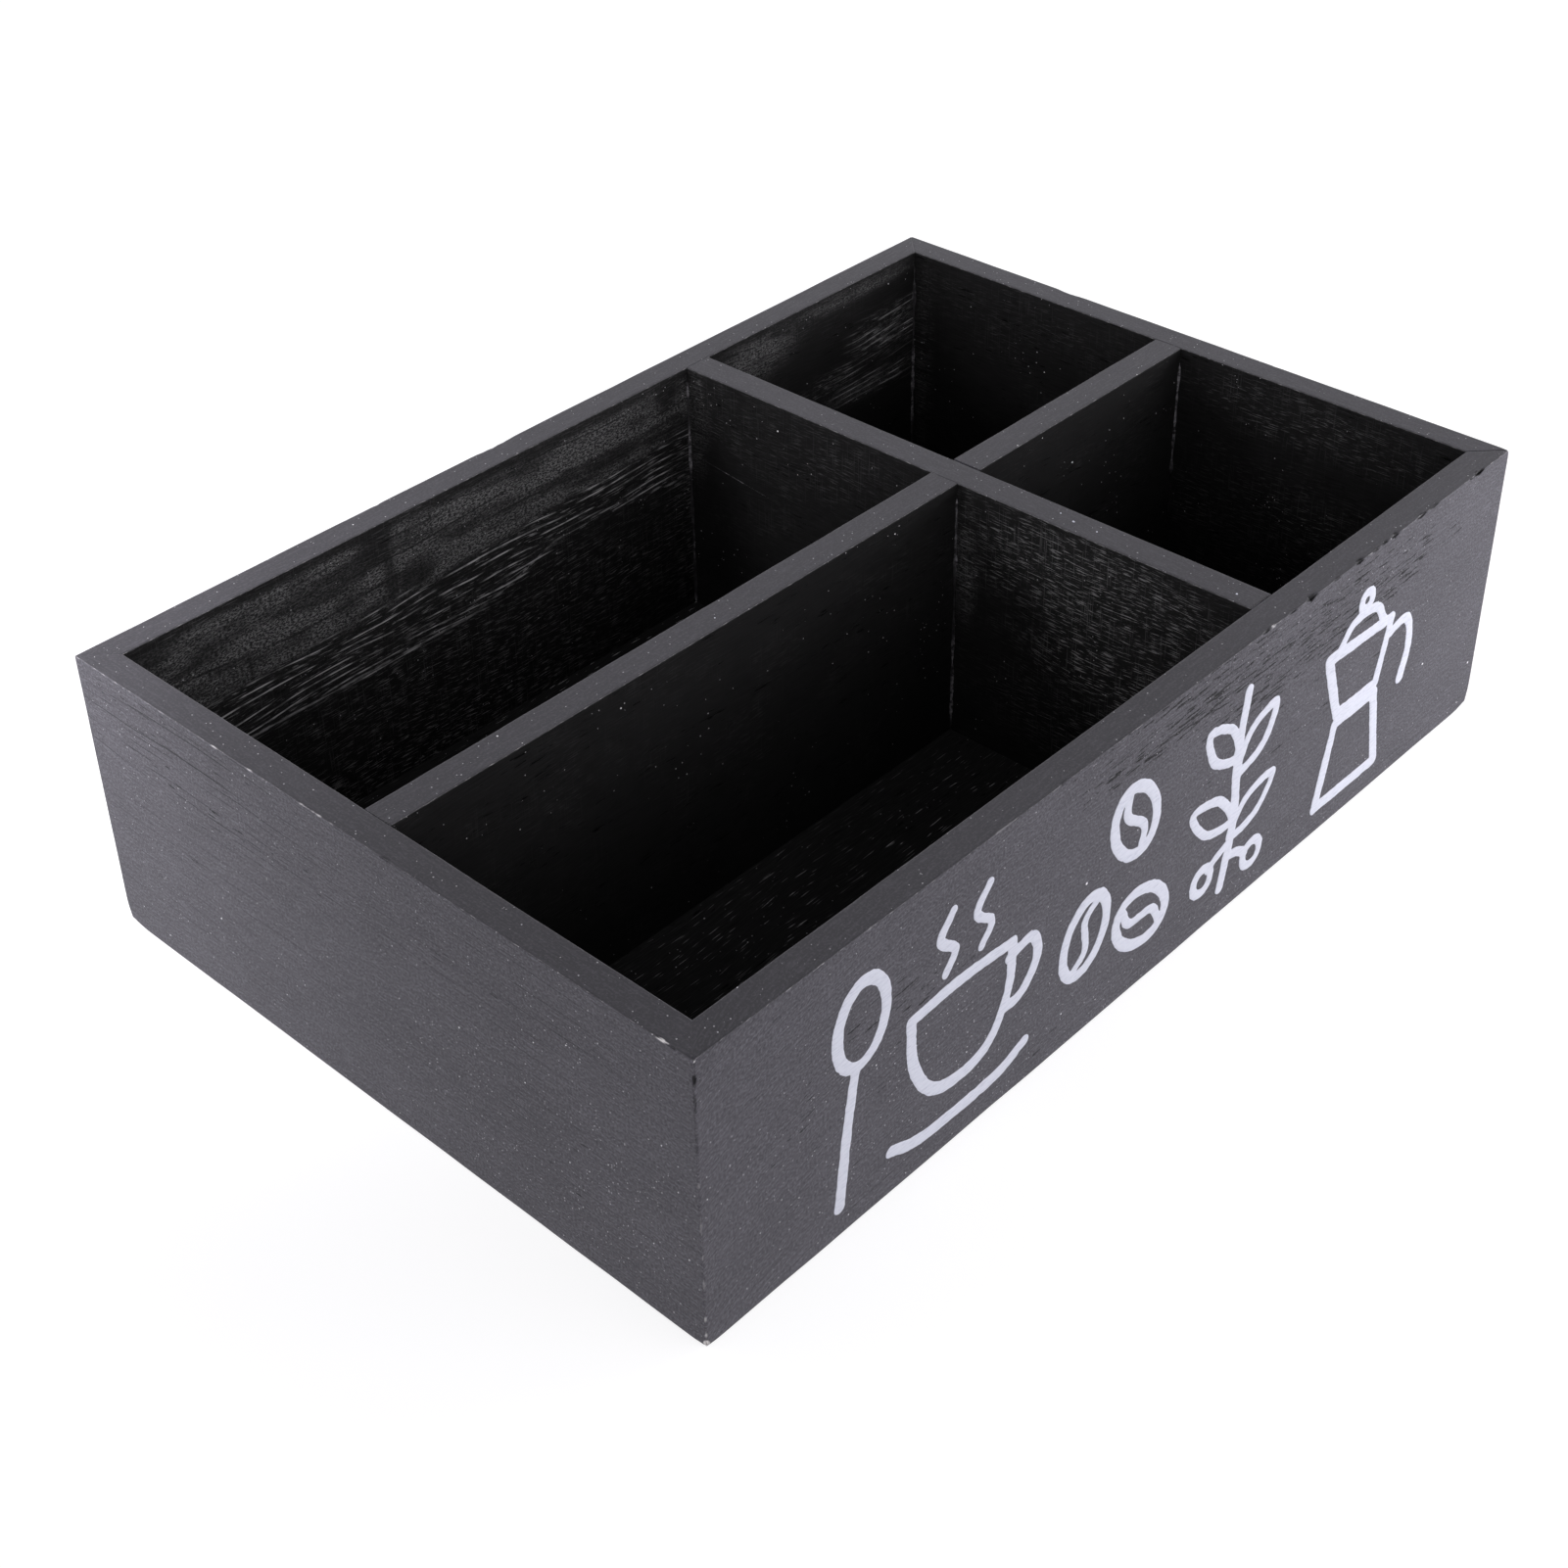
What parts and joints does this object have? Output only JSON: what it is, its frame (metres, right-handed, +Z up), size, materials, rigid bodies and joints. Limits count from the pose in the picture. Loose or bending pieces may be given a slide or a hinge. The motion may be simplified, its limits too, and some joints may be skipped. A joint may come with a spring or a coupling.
{
  "type": "coffee station organizer",
  "caption": "Open-topped countertop organizer of black-stained boards: a mitred box on a rebated base panel, parted by a cross divider and two lengthwise dividers.",
  "frame": {"origin": "middle of the underside", "axes": "+X along the front to the right as seen facing the painted front, +Y to the back, +Z up out of the compartments"},
  "size_m": [0.3, 0.2, 0.08],
  "materials": {
    "black_stain": "satin black stain over open-grained wood, worn a little along the edges",
    "base_panel_stain": "black stain over a thin panel",
    "steel": "plain wire pins and brads",
    "white_paint": "hand-painted white, slightly uneven at the edges",
    "glue": "squeezed-out wood glue under the stain"
  },
  "bodies": {
    "root": {"front_wall": "black_stain", "back_wall": "black_stain", "left_end_wall": "black_stain", "right_end_wall": "black_stain", "cross_divider": "black_stain", "long_divider": "black_stain", "short_divider": "black_stain", "base_panel": "base_panel_stain", "front_left_corner_pins": "steel", "front_right_corner_pins": "steel", "back_left_corner_pins": "steel", "back_right_corner_pins": "steel", "front_wall_to_cross_pins": "steel", "back_wall_to_cross_pins": "steel", "left_end_to_long_pins": "steel", "right_end_to_short_pins": "steel", "cross_to_long_pins": "steel", "front_wall_brads": "steel", "back_wall_brads": "steel", "left_end_brads": "steel", "right_end_brads": "steel", "cross_divider_brads": "steel", "long_divider_brads": "steel", "short_divider_brads": "steel"}
  },
  "joints": []
}
